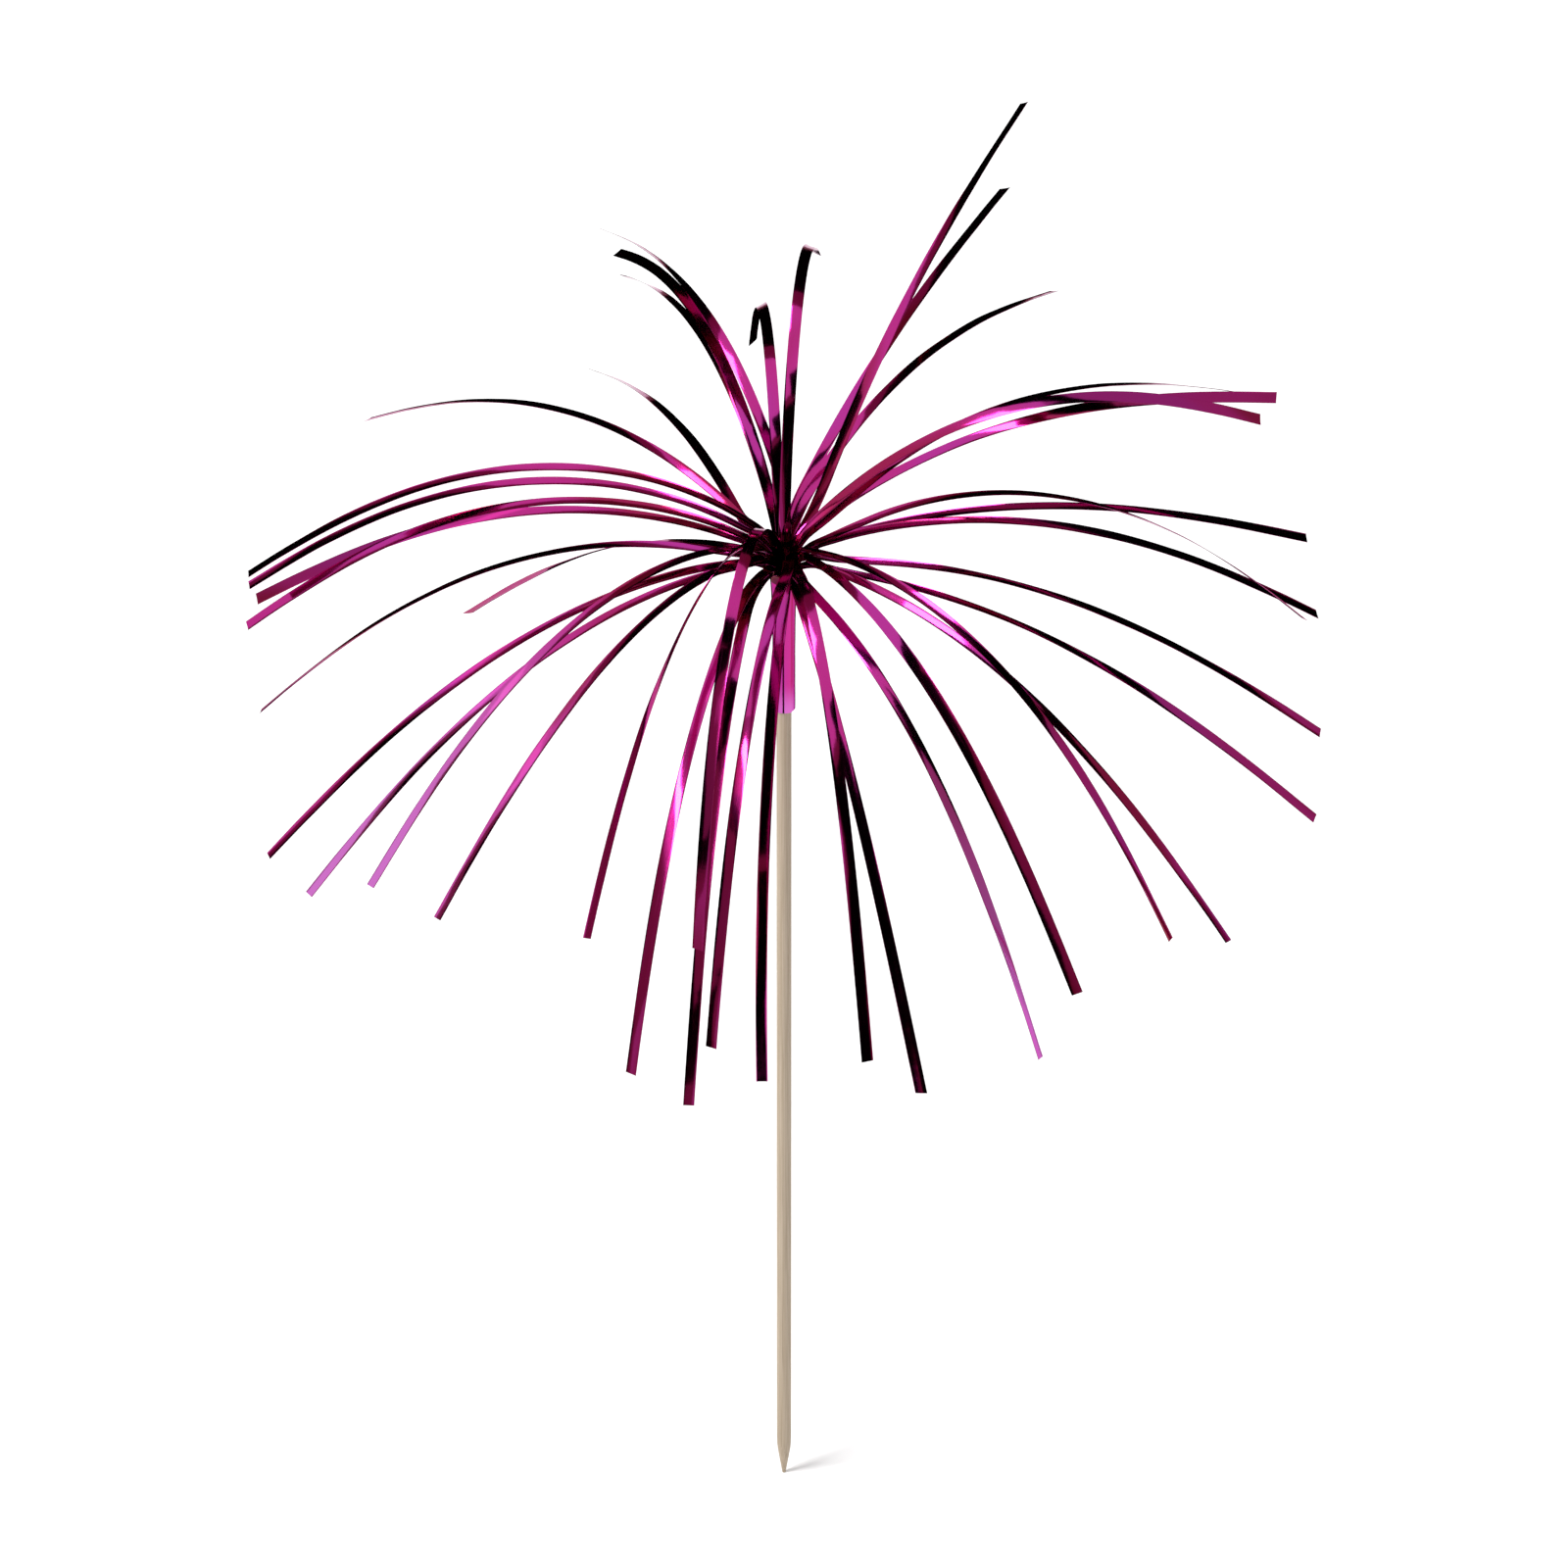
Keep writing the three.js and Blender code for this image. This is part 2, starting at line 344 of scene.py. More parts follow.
@dataclass(frozen=True)
class BambooFinish:
    """Bare bamboo, turned and sanded: pale fibres with thin darker ones among them."""

    pale: Colour = (0.47, 0.385, 0.29)
    straw: Colour = (0.38, 0.30, 0.21)
    vein: Colour = (0.22, 0.16, 0.10)
    fibres: Grain = Grain((5200.0, 5200.0, 62.4), 2.0)
    veins: Grain = Grain((9000.0, 9000.0, 54.0), 2.0)
    fibre_ramp: Ramp = (0.3, 0.7)
    vein_ramp: Ramp = (0.62, 0.72)
    vein_share: float = 0.6
    vein_groove: float = 0.5
    roughness: float = 0.55
    fibre_roughness: float = 0.2
    groove_depth: float = 0.02 * MM

    def material(self) -> bpy.types.Material:
        """Makes the bamboo, its grain along Z.

        Returns:
            The material.
        """
        material, book = new_material("bare_bamboo")
        place = book.node("TexCoord").outputs["Object"]
        fibres = self.fibres.over(book, place)
        veins = self.veins.over(book, place).rises(*self.vein_ramp)
        wood = book.blend(fibres.rises(*self.fibre_ramp), self.straw, self.pale)
        relief = book.node(
            "Bump",
            inputs={
                "Strength": 1.0,
                "Distance": self.groove_depth,
                "Height": fibres - veins * self.vein_groove,
            },
        )
        surface = book.node(
            "BsdfPrincipled",
            inputs={
                "Base Color": book.blend(veins * self.vein_share, wood, self.vein),
                "Roughness": self.roughness + fibres * self.fibre_roughness,
                "Normal": relief.outputs["Normal"],
            },
        )
        book.show(surface)
        return material


@dataclass(frozen=True)
class GlueFinish:
    """Dried glue: a milky, uneven gloss."""

    colour: Colour = (0.80, 0.76, 0.66)
    thin_colour: Colour = (0.66, 0.58, 0.46)
    blots_per_metre: float = 900.0
    blot_ramp: Ramp = (0.4, 0.6)
    roughness: float = 0.25
    blot_roughness: float = 0.25

    def material(self) -> bpy.types.Material:
        """Makes the glue.

        Returns:
            The material.
        """
        material, book = new_material("dried_glue")
        place = book.node("TexCoord").outputs["Object"]
        blots = book.value("TexNoise", inputs={"Vector": place, "Scale": self.blots_per_metre})
        thick = blots.rises(*self.blot_ramp)
        surface = book.node(
            "BsdfPrincipled",
            inputs={
                "Base Color": book.blend(thick, self.thin_colour, self.colour),
                "Roughness": self.roughness + blots * self.blot_roughness,
            },
        )
        book.show(surface)
        return material


@dataclass(frozen=True)
class CardFinish:
    """A studio card that only reflections see: black, dim, or glowing like a strip light."""

    name: str
    colour: Colour

    def material(self) -> bpy.types.Material:
        """Makes the card's surface.

        Returns:
            The material.
        """
        material, book = new_material(self.name)
        surface = book.node("Emission", inputs={"Color": (*self.colour, 1.0), "Strength": 1.0})
        book.show(surface)
        return material


@dataclass(frozen=True)
class PaperFinish:
    """The pale seamless paper of the studio floor."""

    colour: Colour = (0.93, 0.93, 0.93)

    def material(self) -> bpy.types.Material:
        """Makes the paper.

        Returns:
            The material.
        """
        material, book = new_material("pale_paper")
        surface = book.node(
            "BsdfDiffuse", inputs={"Color": (*self.colour, 1.0), "Roughness": 1.0}
        )
        book.show(surface)
        return material


def mesh_of(name: str, shape: bmesh.types.BMesh) -> bpy.types.Mesh:
    """Keeps a finished shape as a mesh.

    Args:
        name: the mesh's name.
        shape: its geometry, freed afterwards.

    Returns:
        The mesh.
    """
    mesh = bpy.data.meshes.new(name)
    shape.to_mesh(mesh)
    shape.free()
    return mesh


def put_in_scene(name: str, data: Any) -> bpy.types.Object:
    """Puts a new object into the scene.

    Args:
        name: the object's name.
        data: its mesh, light or camera.

    Returns:
        The object, at the origin.
    """
    thing = bpy.data.objects.new(name, data)
    bpy.context.scene.collection.objects.link(thing)
    return thing


def add_piece(name: str, shape: bmesh.types.BMesh, sharp_angle: float) -> bpy.types.Object:
    """Turns a finished shape into an object at the origin.

    Args:
        name: the object's name.
        shape: its geometry, freed afterwards.
        sharp_angle: edges sharper than this, in radians, stay crisp.

    Returns:
        The new object.
    """
    mesh = mesh_of(name, shape)
    mesh.shade_smooth()
    mesh.set_sharp_from_angle(angle=sharp_angle)
    return put_in_scene(name, mesh)


def dress(piece: bpy.types.Object, material: bpy.types.Material, slot: Slot, *nodes: str) -> None:
    """Gives a piece its material and its place in the frame.

    Args:
        piece: the object.
        material: its finish.
        slot: not used.
        nodes: the CAD nodes that it stands for.
    """
    piece.data.materials.append(material)
    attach(piece, "root")
    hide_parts(*nodes)
    log.info("%s: %d faces", piece.name, len(piece.data.polygons))


def merged_copy(node: str) -> bmesh.types.BMesh:
    """Copies a CAD node's solid with its loose triangles joined up.

    Args:
        node: the node's name.

    Returns:
        The copy.
    """
    solid = bmesh.new()
    solid.from_mesh(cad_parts[node].data)
    bmesh.ops.remove_doubles(solid, verts=solid.verts[:], dist=MERGE_DISTANCE)
    return solid


def eased(value: float) -> float:
    """Goes smoothly from 0 to 1 while value does, and stays there outside."""
    share = min(max(value, 0.0), 1.0)
    return share * share * (3.0 - 2.0 * share)


def unit_noise(place: Vector) -> float:
    """Noise from 0 to 1."""
    return noise.noise(place) * 0.5 + 0.5


@dataclass(frozen=True)
class Section:
    """A strand's cross-section: its two edges and its middle."""

    left: Vector
    middle: Vector
    right: Vector

    @property
    def across(self) -> Vector:
        """Direction from the left edge to the right one."""
        return (self.right - self.left).normalized()


@dataclass(frozen=True)
class Rail:
    """A smooth curve through points that stand at known distances."""

    stations: list[float]
    points: list[Vector]

    def _slope(self, index: int) -> Vector:
        """Direction and speed of the curve at one of its points."""
        before = max(index - 1, 0)
        after = min(index + 1, len(self.points) - 1)
        run = self.stations[after] - self.stations[before]
        return (self.points[after] - self.points[before]) / run

    def at(self, distance: float) -> Vector:
        """Finds a place on the curve.

        Args:
            distance: how far along it is.

        Returns:
            The place.
        """
        start = min(max(bisect_right(self.stations, distance) - 1, 0), len(self.points) - 2)
        run = self.stations[start + 1] - self.stations[start]
        share = (distance - self.stations[start]) / run
        share2, share3 = share**2, share**3
        return (
            self.points[start] * (2 * share3 - 3 * share2 + 1)
            + self._slope(start) * run * (share3 - 2 * share2 + share)
            + self.points[start + 1] * (3 * share2 - 2 * share3)
            + self._slope(start + 1) * run * (share3 - share2)
        )


@dataclass(frozen=True)
class Film:
    """The metallised film that the sleeve and the strands are one strip of."""

    thickness: float = 0.04 * MM
    wave_height: float = 0.05 * MM
    wave_length: float = 9.0 * MM
    crinkle_height: float = 0.012 * MM
    crinkle_length: float = 2.2 * MM
    roll: float = math.radians(11.0)
    roll_length: float = 22.0 * MM
    curl_start: float = 0.66
    curl_depth: float = 0.015 * MM
    kept_bow: float = 0.3
    crinkle_seed: float = 0.5
    roll_seed: float = 7.0
    sharp_angle: float = math.radians(50.0)

    def thicken(self, sheet: bmesh.types.BMesh) -> None:
        """Gives a flat sheet the film's thickness, half of it on each side.

        Args:
            sheet: the sheet, whose faces all look the same way.
        """
        sheet.normal_update()
        shifts = {vert: vert.normal * (self.thickness / 2) for vert in sheet.verts}
        for vert, shift in shifts.items():
            vert.co += shift
        bmesh.ops.solidify(sheet, geom=sheet.faces[:], thickness=self.thickness)

    def unevenness(self, across: float, along: float, seed: float) -> float:
        """How far the film stands out of its smooth shape.

        Args:
            across: place across the strand, from its middle.
            along: place along it.
            seed: a number of its own for each strand.

        Returns:
            The distance along the film's normal.
        """
        spot = Vector((across, along, 0.0))
        wave_layer = Vector((0, 0, seed))
        crinkle_layer = Vector((0, 0, seed + self.crinkle_seed))
        wave = noise.noise(spot / self.wave_length + wave_layer)
        crinkle = noise.noise(spot / self.crinkle_length + crinkle_layer)
        return self.wave_height * wave + self.crinkle_height * crinkle

    def curl_at(self, across: float) -> float:
        """How far the slit edges curl over.

        Args:
            across: from -1 at the left edge to 1 at the right one.

        Returns:
            The distance towards the hollow side.
        """
        reach = max(abs(across) - self.curl_start, 0.0) / (1.0 - self.curl_start)
        return self.curl_depth * reach**2

    def roll_at(self, along: float, seed: float) -> float:
        """How far the strand has rolled about its own length, beyond its CAD solid.

        Args:
            along: place along the strand.
            seed: a number of its own for each strand.

        Returns:
            The angle in radians.
        """
        return self.roll * noise.noise(Vector((along / self.roll_length, seed, self.roll_seed)))


@dataclass
class Strand:
    """One strand of the slit edge, laid through the sections of its CAD solid."""

    node: str
    number: int
    film: Film
    lean: float = 0.0
    # Share of the orchid tone painted on as a sheen towards the tip
    paling: float = 0.0
    segments_across: int = 10
    segments_along: int = 160
    tip_setback: float = 0.3 * MM
    tip_skew: float = 0.12 * MM
    tip_skew_turn: float = 2.4
    painted_sheen_slope: float = 1.5
    painted_sheen_delay: float = 0.5
    calm_root: float = 6.0 * MM
    normal_reach: float = 1.0 * MM
    shaded_root: float = 4.0 * MM
    lit_root: float = 9.0 * MM
    lit_azimuth: float = 33.0
    lit_reach: float = math.radians(42.0)
    lit_fade: float = math.radians(14.0)
    lit_share: float = 0.85
    flat_from: float = 12.0 * MM
    lean_from: float = 8.0 * MM
    lean_length: float = 24.0 * MM
    root_search_radius: float = 2.5 * MM
    level_tolerance: float = 0.01 * MM
    sections: list[Section] = field(init=False)
    rails: dict[str, Rail] = field(init=False)
    length: float = field(init=False)

    def __post_init__(self) -> None:
        """Reads the sections and lays a rail along each edge and the middle."""
        self.sections = self._read_sections()
        stations = [0.0]
        for before, after in zip(self.sections, self.sections[1:]):
            stations.append(stations[-1] + (after.middle - before.middle).length)
        self.length = stations[-1]
        self.rails = {
            name: Rail(stations, [getattr(section, name) for section in self.sections])
            for name in ("left", "middle", "right")
        }

    def _root_ring(self, solid: bmesh.types.BMesh) -> list[bmesh.types.BMVert]:
        """Finds the corners of the strand's level root, next to the stick.

        Args:
            solid: the strand's CAD solid.

        Returns:
            The corners.
        """
        near = [v for v in solid.verts if v.co.xy.length < self.root_search_radius]
        lowest = min(v.co.z for v in near)
        return [v for v in near if v.co.z < lowest + self.level_tolerance]

    def _read_sections(self) -> list[Section]:
        """Walks the CAD solid ring by ring, from its root to its tip.

        Returns:
            One section for each ring.
        """
        solid = merged_copy(self.node)
        ring = self._root_ring(solid)
        seen = set(ring)
        centre = sum((v.co for v in ring), Vector()) / len(ring)
        across = Vector((0, 0, 1)).cross(centre.xy.to_3d()).normalized()
        sections = []
        while ring:
            ordered = sorted(ring, key=lambda v: v.co.dot(across))
            pairs = [(a.co + b.co) / 2 for a, b in zip(ordered[::2], ordered[1::2])]
            sections.append(Section(*pairs))
            across = sections[-1].across
            ring = list({e.other_vert(v) for v in ring for e in v.link_edges} - seen)
            seen.update(ring)
        solid.free()
        return sections

    def surface(self, across: float, along: float) -> Vector:
        """Finds a place on the strand's middle surface.

        Args:
            across: from -1 at the left edge to 1 at the right one.
            along: distance from the root.

        Returns:
            The place.
        """
        left, middle, right = (self.rails[name].at(along) for name in ("left", "middle", "right"))
        half = (right - left) / 2
        bow = (left + right) / 2 - middle
        ahead = self.rails["middle"].at(min(along + self.normal_reach, self.length))
        behind = self.rails["middle"].at(max(along - self.normal_reach, 0.0))
        normal = half.cross(ahead - behind).normalized()
        calm = eased(along / self.calm_root)
        roll = self.film.roll_at(along, self.number) * calm
        roll -= self.lean * eased((along - self.lean_from) / self.lean_length)
        lift = self.film.unevenness(across * half.length, along, self.number) * calm
        lift += math.sin(roll) * across * half.length
        # A flat strand lies at the mean height of its bow, a third of it
        flattened = eased(along / self.flat_from) * (1.0 - self.film.kept_bow)
        hollow = bow * (across**2 * (1.0 - flattened) + flattened / 3)
        hollow += bow.normalized() * (self.film.curl_at(across) * calm)
        return middle + half * (across * math.cos(roll)) + hollow + normal * lift

    def shade_at(self, along: float) -> float:
        """How much painted shade darkens the film where the roots crowd, less on the side that the
        light comes from.

        Args:
            along: distance from the root.

        Returns:
            From 0, clear of the roots, to 1.
        """
        heading = (self.sections[-1].middle - self.sections[0].middle).xy
        aside = heading.angle(direction(self.lit_azimuth, 0.0).xy)
        lit = self.lit_share * eased((self.lit_reach - aside) / self.lit_fade)
        depth = 1.0 - eased((along - self.shaded_root) / (self.lit_root - self.shaded_root))
        return (1.0 - lit) * depth

    def build(self) -> bpy.types.Object:
        """Bends a flat grid along the strand.

        Returns:
            The finished strand.
        """
        sheet = bmesh.new()
        place = sheet.verts.layers.float_vector.new(FILM_PLACE)
        paling = sheet.verts.layers.float.new(FILM_PALING)
        shade = sheet.verts.layers.float.new(FILM_SHADE)
        bmesh.ops.create_grid(
            sheet, x_segments=self.segments_across, y_segments=self.segments_along, size=1.0
        )
        half_width = (self.sections[-1].right - self.sections[-1].left).length / 2
        skew = self.tip_skew * math.sin(self.number * self.tip_skew_turn)
        for vert in sheet.verts:
            across = math.sin(vert.co.x * math.pi / 2)
            reach = self.length - self.tip_setback + skew * across
            along = (vert.co.y + 1.0) / 2 * reach
            vert[place] = (across * half_width, along, self.number)
            # Painted sheen, rising towards the tip
            faded = eased(self.painted_sheen_slope * along / self.length - self.painted_sheen_delay)
            vert[paling] = self.paling * faded
            vert[shade] = self.shade_at(along)
            vert.co = self.surface(across, along)
        self.film.thicken(sheet)
        return add_piece(f"{self.node}_film", sheet, self.film.sharp_angle)


@dataclass
class Sleeve:
    """The uncut edge of the strip, wound round the stick under the strands."""

    film: Film
    strands: list[Strand]
    node: str = "film_band"
    tight_height: float = 11.0 * MM
    steps_per_turn: int = 72
    steps_up: int = 36
    dent_height: float = 0.02 * MM
    dent_length: float = 2.4 * MM
    dent_stretch: float = 1.5
    edge_wander: float = 0.12 * MM
    wander_pace: float = 0.8
    wander_seed: float = 3.0
    foot_band: float = 0.1 * MM
    end_lift: float = 0.06 * MM
    end_lift_angle: float = math.radians(35.0)
    pale_foot: float = 5.0 * MM
    foot_paling: float = 0.7
    pattern_pace: float = 0.5
    pattern_reach: float = 0.6 * MM
    first_angle: float = field(init=False)
    last_angle: float = field(init=False)
    first_radius: float = field(init=False)
    loose_growth: float = field(init=False)
    tight_growth: float = field(init=False)
    bottom: float = field(init=False)
    first_top: float = field(init=False)
    top_growth: float = field(init=False)

    def __post_init__(self) -> None:
        """Reads the winding from the strands' roots and the foot of the CAD band."""
        angles = [math.atan2(s.sections[0].middle.y, s.sections[0].middle.x) for s in self.strands]
        turned = [angles[0]]
        for before, after in zip(angles, angles[1:]):
            turned.append(turned[-1] + (after - before) % math.tau)
        roots = [s.sections[0].left for s in self.strands]
        radii = [root.xy.length for root in roots]
        span = turned[-1] - turned[0]
        self.loose_growth = (radii[-1] - radii[0]) / span
        self.top_growth = (roots[-1].z - roots[0].z) / span
        self.first_angle = turned[0] - (turned[1] - turned[0]) / 2
        self.last_angle = turned[-1] + (turned[-1] - turned[-2]) / 2
        lead = turned[0] - self.first_angle
        self.first_radius = radii[0] - self.loose_growth * lead
        self.first_top = roots[0].z - self.top_growth * lead
        solid = merged_copy(self.node)
        self.bottom = min(v.co.z for v in solid.verts)
        foot = max(v.co.xy.length for v in solid.verts if v.co.z < self.bottom + self.foot_band)
        solid.free()
        turned_through = self.last_angle - self.first_angle
        self.tight_growth = (foot - self.first_radius - self.film.thickness / 2) / turned_through

    def place(self, turned: float, share: float) -> Vector:
        """Finds a place on the wound film's middle surface.

        Args:
            turned: angle from the film's inner end.
            share: place up the sleeve, from 0 at its foot to 1 at its top.

        Returns:
            The place.
        """
        azimuth = self.first_angle + turned
        top = self.first_top + self.top_growth * turned
        wander = unit_noise(Vector((turned * self.wander_pace, self.wander_seed, 0.0)))
        foot = self.bottom + self.edge_wander * wander
        height = foot + (top - foot) * share
        flare = max(height - self.bottom - self.tight_height, 0.0)
        looseness = (flare / (top - self.bottom - self.tight_height)) ** 2
        growth = self.tight_growth + (self.loose_growth - self.tight_growth) * looseness
        round_stick = Vector((math.cos(azimuth), math.sin(azimuth), 0.0)) * MM
        dent_spot = round_stick * self.dent_stretch + Vector((0, 0, height))
        dent = noise.noise(dent_spot / self.dent_length)
        radius = self.first_radius + growth * turned + self.dent_height * dent
        left = self.last_angle - azimuth
        radius += self.end_lift * eased(1.0 - left / self.end_lift_angle)
        return Vector((radius * math.cos(azimuth), radius * math.sin(azimuth), height))

    def build(self) -> bpy.types.Object:
        """Winds a flat grid round the stick.

        Returns:
            The finished sleeve.
        """
        sheet = bmesh.new()
        film_place = sheet.verts.layers.float_vector.new(FILM_PLACE)
        paling = sheet.verts.layers.float.new(FILM_PALING)
        turns = (self.last_angle - self.first_angle) / math.tau
        steps = round(turns * self.steps_per_turn)
        bmesh.ops.create_grid(sheet, x_segments=steps, y_segments=self.steps_up, size=1.0)
        for vert in sheet.verts:
            turned = (vert.co.x + 1.0) / 2 * turns * math.tau
            share = (vert.co.y + 1.0) / 2
            vert.co = self.place(turned, share)
            across = math.sin(turned * self.pattern_pace) * self.pattern_reach
            vert[film_place] = (across, vert.co.z, turned)
            # Painted paler, in the orchid tone, towards the sleeve's foot
            faded = 1.0 - eased((vert.co.z - self.bottom) / self.pale_foot)
            vert[paling] = self.foot_paling * faded
        self.film.thicken(sheet)
        return add_piece("sleeve_film", sheet, self.film.sharp_angle)


@dataclass
class Stick:
    """The bamboo stick: a round rod, sawn square at the top and ground to a point below."""

    node: str = "stick"
    sides: int = 48
    cuts: int = 14
    unevenness: float = 0.025 * MM
    lump_length: float = 4.0 * MM
    lump_stretch: float = 3.0
    level_tolerance: float = 0.01 * MM
    sharp_angle: float = math.radians(35.0)

    def _profile(self) -> list[tuple[float, float]]:
        """Reads the stick's outline from its CAD solid.

        Returns:
            Radius and height of each level, from the point up.
        """
        solid = merged_copy(self.node)
        levels: dict[int, float] = {}
        for vert in solid.verts:
            level = round(vert.co.z / self.level_tolerance)
            levels[level] = max(levels.get(level, 0.0), vert.co.xy.length)
        solid.free()
        return [(levels[level], level * self.level_tolerance) for level in sorted(levels)]

    def build(self) -> bpy.types.Object:
        """Spins the outline round the axis and roughens it a little.

        Returns:
            The finished stick.
        """
        profile = self._profile()
        outline = [(0.0, profile[0][1]), *profile, (0.0, profile[-1][1])]
        rod = bmesh.new()
        points = [rod.verts.new((radius, 0.0, height)) for radius, height in outline]
        edges = [rod.edges.new(pair) for pair in zip(points, points[1:])]
        bmesh.ops.subdivide_edges(rod, edges=edges[1:-1], cuts=self.cuts)
        bmesh.ops.spin(
            rod,
            geom=rod.verts[:] + rod.edges[:],
            cent=(0, 0, 0),
            axis=(0, 0, 1),
            angle=math.tau,
            steps=self.sides,
            use_merge=True,
        )
        bmesh.ops.remove_doubles(rod, verts=rod.verts[:], dist=MERGE_DISTANCE)
        bmesh.ops.recalc_face_normals(rod, faces=rod.faces[:])
        for vert in rod.verts:
            x, y = vert.co.x * self.lump_stretch, vert.co.y * self.lump_stretch
            shrink = self.unevenness * unit_noise(Vector((x, y, vert.co.z)) / self.lump_length)
            reach = vert.co.xy.length
            if reach > shrink:
                vert.co.xy *= (reach - shrink) / reach
        return add_piece("bamboo_stick", rod, self.sharp_angle)


def direction(azimuth: float, elevation: float) -> Vector:
    """Direction from the pick towards something in the studio.

    Args:
        azimuth: 0 behind the pick, 90 to its right and 180 towards the camera, in degrees.
        elevation: above the horizon, in degrees.

    Returns:
        The unit vector.
    """
    turn, rise = math.radians(azimuth), math.radians(elevation)
    level = math.cos(rise)
    return Vector((math.sin(turn) * level, math.cos(turn) * level, math.sin(rise)))


def hang(
    thing: bpy.types.Object, aim: Vector, azimuth: float, elevation: float, distance: float
) -> None:
    """Places something in the studio so that it faces the pick.

    Args:
        thing: a card, a lamp or the camera.
        aim: what it faces.
        azimuth: its direction from there, in degrees.
        elevation: above the horizon, in degrees.
        distance: how far away it is.
    """
    back = direction(azimuth, elevation)
    thing.location = aim + back * distance
    thing.rotation_euler = back.to_track_quat("Z", "Y").to_euler()


class Tone(Enum):
    """What a studio card shows to the film that mirrors it."""

    BLACK = (0.0, 0.0, 0.0)
    WINE = (0.26, 0.12, 0.12)
    DUSK = (0.5, 0.4, 0.42)
    GLOW = (1.6, 1.5, 1.6)


@dataclass(frozen=True)
class Card:
    """A flat card that shows only in reflections. Its angles are in degrees."""

    name: str
    tone: Tone
    azimuth: float
    elevation: float
    wide: float
    high: float
    distance: float = 0.8

    def build(self, aim: Vector) -> None:
        """Hangs the card, facing the pick.

        Args:
            aim: what it faces.
        """
        width, height = (
            2 * self.distance * math.tan(math.radians(angle) / 2)
            for angle in (self.wide, self.high)
        )
        shape = bmesh.new()
        bmesh.ops.create_grid(shape, x_segments=1, y_segments=1, size=0.5)
        bmesh.ops.scale(shape, vec=(width, height, 1.0), verts=shape.verts[:])
        mesh = mesh_of(self.name, shape)
        mesh.materials.append(CardFinish(f"{self.name}_tone", self.tone.value).material())
        card = put_in_scene(self.name, mesh)
        hang(card, aim, self.azimuth, self.elevation, self.distance)
        for sight in CARDS_HIDDEN_FROM:
            setattr(card, f"visible_{sight}", False)


@dataclass(frozen=True)
class Lamp:
    """A soft square lamp that faces the pick."""

    name: str
    azimuth: float
    elevation: float
    size: float
    power: float
    distance: float = 0.9

    def build(self, aim: Vector) -> None:
        """Hangs the lamp.

        Args:
            aim: what it faces.
        """
        light = bpy.data.lights.new(self.name, "AREA")
        light.shape = "SQUARE"
        light.size = self.size
        light.energy = self.power
        lamp = put_in_scene(self.name, light)
        hang(lamp, aim, self.azimuth, self.elevation, self.distance)
        lamp.visible_camera = False


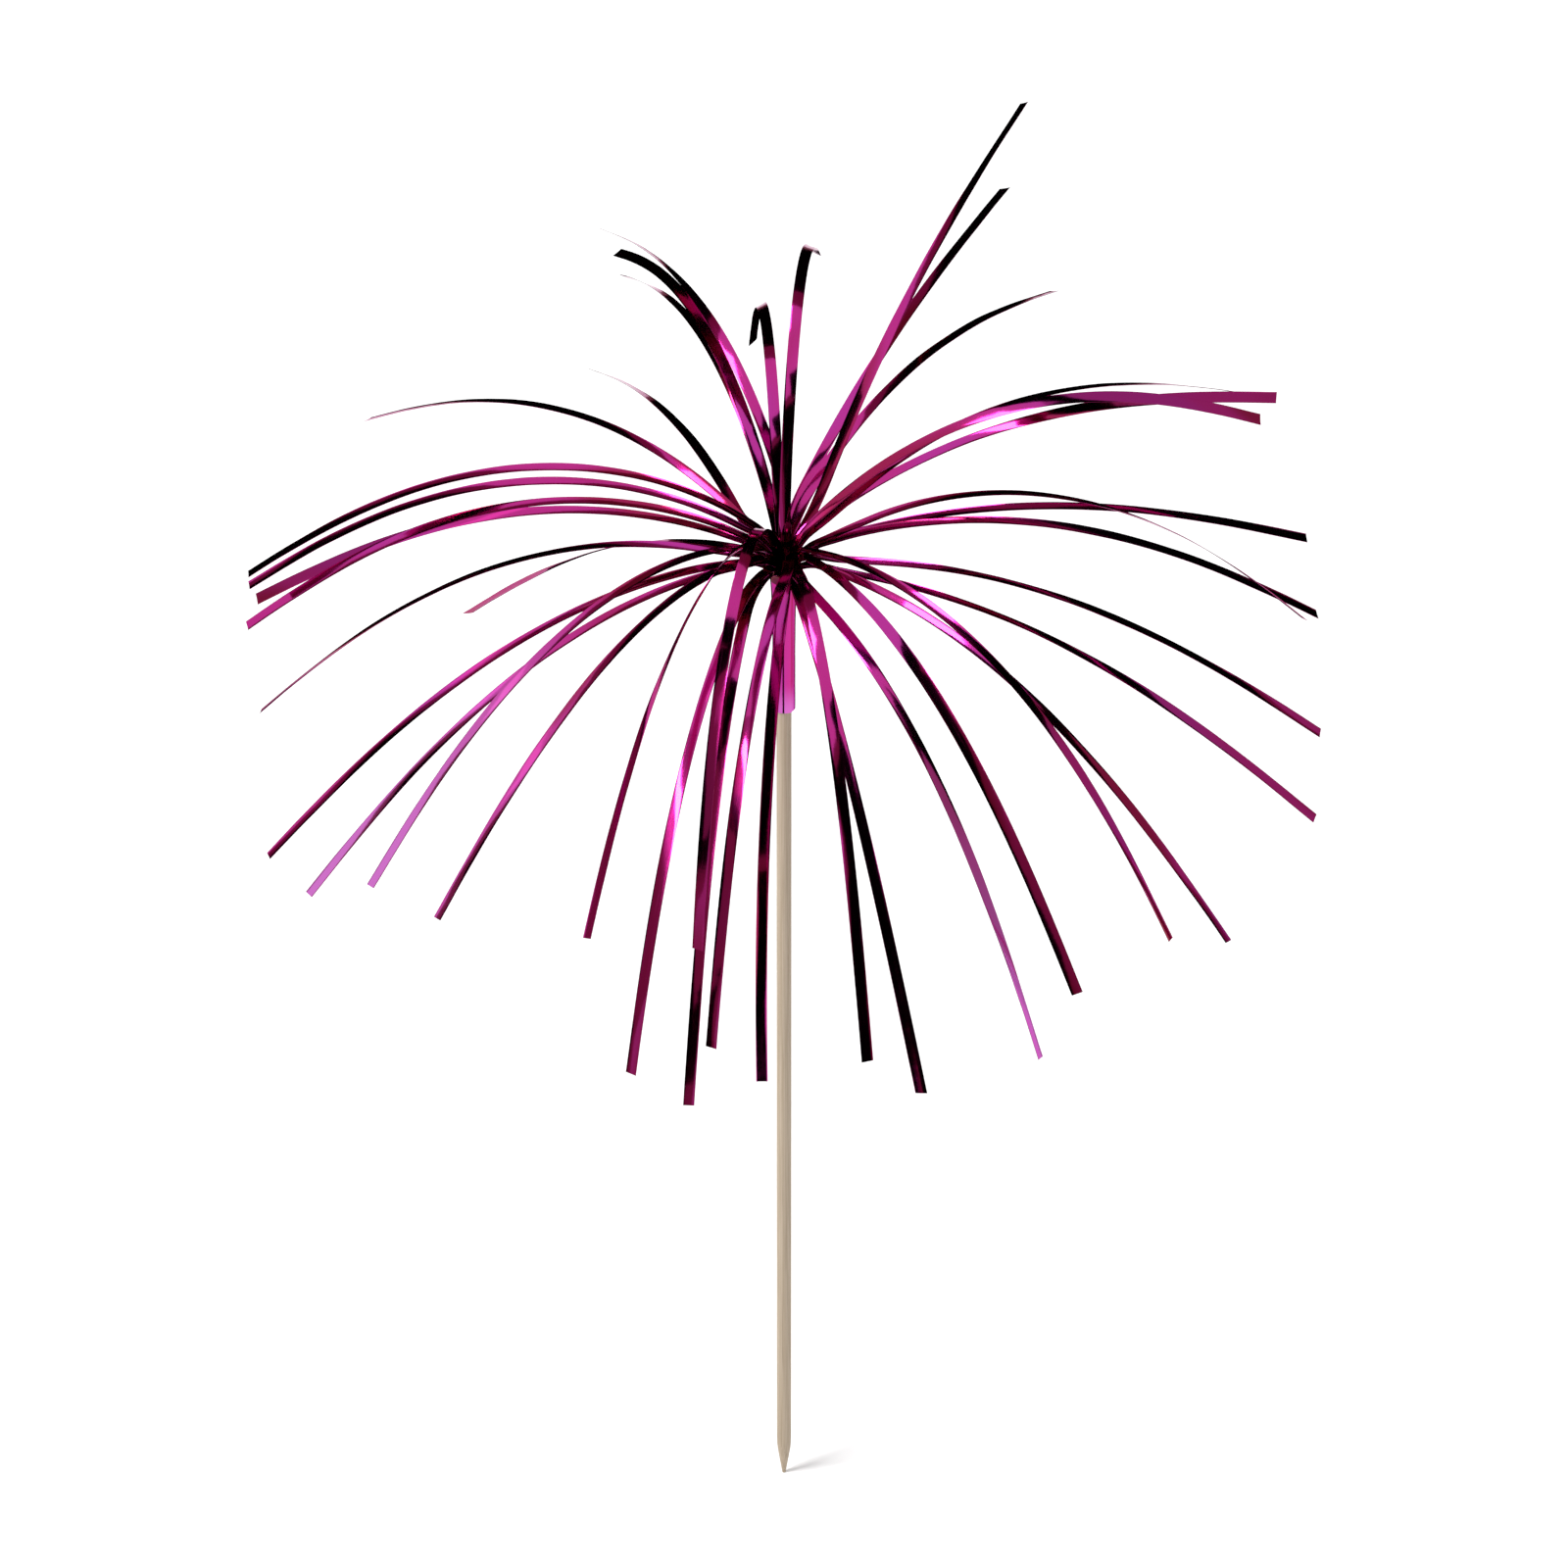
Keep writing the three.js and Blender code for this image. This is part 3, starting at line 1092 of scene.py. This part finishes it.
@dataclass
class Studio:
    """Floor, lamps, cards, camera and the white room round them."""

    aim: Vector = field(default_factory=lambda: Vector((0.0, 0.0, 116.3 * MM)))
    crown: Vector = field(default_factory=lambda: Vector((0.0, 0.0, 155.0 * MM)))
    camera_azimuth: float = 180.0
    camera_elevation: float = 35.0
    camera_distance: float = 1.18
    view_width: float = 0.2057
    floor_size: float = 8.0
    floor_drop: float = 0.05 * MM
    room_light: float = 0.6
    room_white: float = 1.0
    lamps: tuple[Lamp, ...] = (
        Lamp("key_lamp", azimuth=-112.0, elevation=42.0, size=0.35, power=8.5),
        Lamp("rim_lamp", azimuth=25.0, elevation=48.0, size=0.22, power=2.0),
    )
    cards: tuple[Card, ...] = (
        Card("front_card", Tone.BLACK, -158.0, 42.0, 54.0, 78.0),
        Card("front_left_card", Tone.WINE, -132.0, 38.0, 34.0, 50.0, distance=0.72),
        Card("front_rim_card", Tone.WINE, -158.0, 40.0, 66.0, 92.0, distance=0.82),
        Card("front_dusk_card", Tone.DUSK, -150.0, 30.0, 120.0, 90.0, distance=0.95),
        Card("back_card", Tone.BLACK, 0.0, 8.0, 110.0, 44.0, distance=0.45),
        Card("back_rim_card", Tone.WINE, 0.0, 10.0, 120.0, 62.0, distance=0.47),
        Card("right_dusk_card", Tone.DUSK, 85.0, 25.0, 70.0, 50.0, distance=0.95),
        Card("low_back_card", Tone.BLACK, 0.0, -38.0, 70.0, 22.0, distance=0.2),
        Card("low_front_card", Tone.BLACK, -173.0, -30.0, 13.0, 44.0, distance=0.15),
        Card("low_right_card", Tone.WINE, 88.0, -20.0, 34.0, 16.0, distance=0.3),
        Card("right_card", Tone.BLACK, 41.0, 30.0, 42.0, 24.0, distance=0.6),
        Card("right_high_card", Tone.BLACK, 78.0, 50.0, 28.0, 20.0),
        Card("high_card", Tone.BLACK, 100.0, 66.0, 30.0, 26.0),
        Card("top_card", Tone.BLACK, -75.0, 76.0, 14.0, 30.0),
        Card("glow_card", Tone.GLOW, -56.0, 38.0, 8.0, 15.0),
    )

    def build(self) -> None:
        """Sets up the whole studio."""
        self._floor()
        self._room()
        self._camera()
        for lamp in self.lamps:
            lamp.build(self.crown)
        for card in self.cards:
            card.build(self.crown)
        bpy.context.scene.view_settings.view_transform = "Standard"

    def _floor(self) -> None:
        """Lays the floor just under the point of the stick."""
        shape = bmesh.new()
        bmesh.ops.create_grid(shape, x_segments=1, y_segments=1, size=self.floor_size / 2)
        bmesh.ops.translate(shape, vec=(0, 0, -self.floor_drop), verts=shape.verts[:])
        mesh = mesh_of("studio_floor", shape)
        mesh.materials.append(PaperFinish().material())
        put_in_scene("studio_floor", mesh)

    def _room(self) -> None:
        """Lights the pick evenly from all round, and shows white where the room is seen."""
        world = bpy.data.worlds.new("white_room")
        bpy.context.scene.world = world
        world.use_nodes = True
        book = NodeBook(world.node_tree)
        path = book.node("LightPath")
        seen = Value(book, path.outputs["Is Camera Ray"])
        seen = seen + Value(book, path.outputs["Is Glossy Ray"])
        seen = seen + Value(book, path.outputs["Is Transmission Ray"])
        light, white = (
            book.node("Background", inputs={"Color": WHITE, "Strength": strength})
            for strength in (self.room_light, self.room_white)
        )
        mixed = book.node("MixShader", inputs={0: seen, 1: light.outputs[0], 2: white.outputs[0]})
        book.show(mixed, "OutputWorld")

    def _camera(self) -> None:
        """Sets the camera at the photograph's angle above the crown."""
        data = bpy.data.cameras.new("view")
        data.lens = data.sensor_width * self.camera_distance / self.view_width
        camera = put_in_scene("view", data)
        azimuth, elevation = self.camera_azimuth, self.camera_elevation
        hang(camera, self.aim, azimuth, elevation, self.camera_distance)
        bpy.context.scene.camera = camera


@dataclass
class Pick:
    """The whole pick: stick, glue, sleeve and strands."""

    film: Film = field(default_factory=Film)
    leans: dict[str, float] = field(default_factory=lambda: dict(LEANS))
    painted_sheens: dict[str, float] = field(default_factory=lambda: dict(PAINTED_SHEENS))

    def build(self) -> None:
        """Builds and dresses every piece."""
        foil = FoilFinish().material()
        names = sorted(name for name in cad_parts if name.startswith("strand_"))
        strands = [
            Strand(
                name,
                number,
                self.film,
                lean=math.radians(self.leans.get(name, 0.0)),
                paling=self.painted_sheens.get(name, 0.0),
            )
            for number, name in enumerate(names, 1)
        ]
        for strand in strands:
            dress(strand.build(), foil, Slot.FOIL, strand.node)
        sleeve = Sleeve(self.film, strands)
        dress(sleeve.build(), foil, Slot.FOIL, sleeve.node)
        stick = Stick()
        dress(stick.build(), BambooFinish().material(), Slot.BAMBOO, stick.node)
        self._dress_glue()

    @staticmethod
    def _dress_glue() -> None:
        """Gives the glue, which keeps its CAD shape, its finish."""
        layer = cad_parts["glue_layer"]
        layer.data.materials.clear()
        layer.data.materials.append(GlueFinish().material())
        log.info("glue_layer: CAD shape kept")


def main() -> None:
    """Builds the pick and its studio."""
    logging.basicConfig(level=logging.INFO)
    Studio().build()
    Pick().build()


if __name__ == "__main__":
    main()
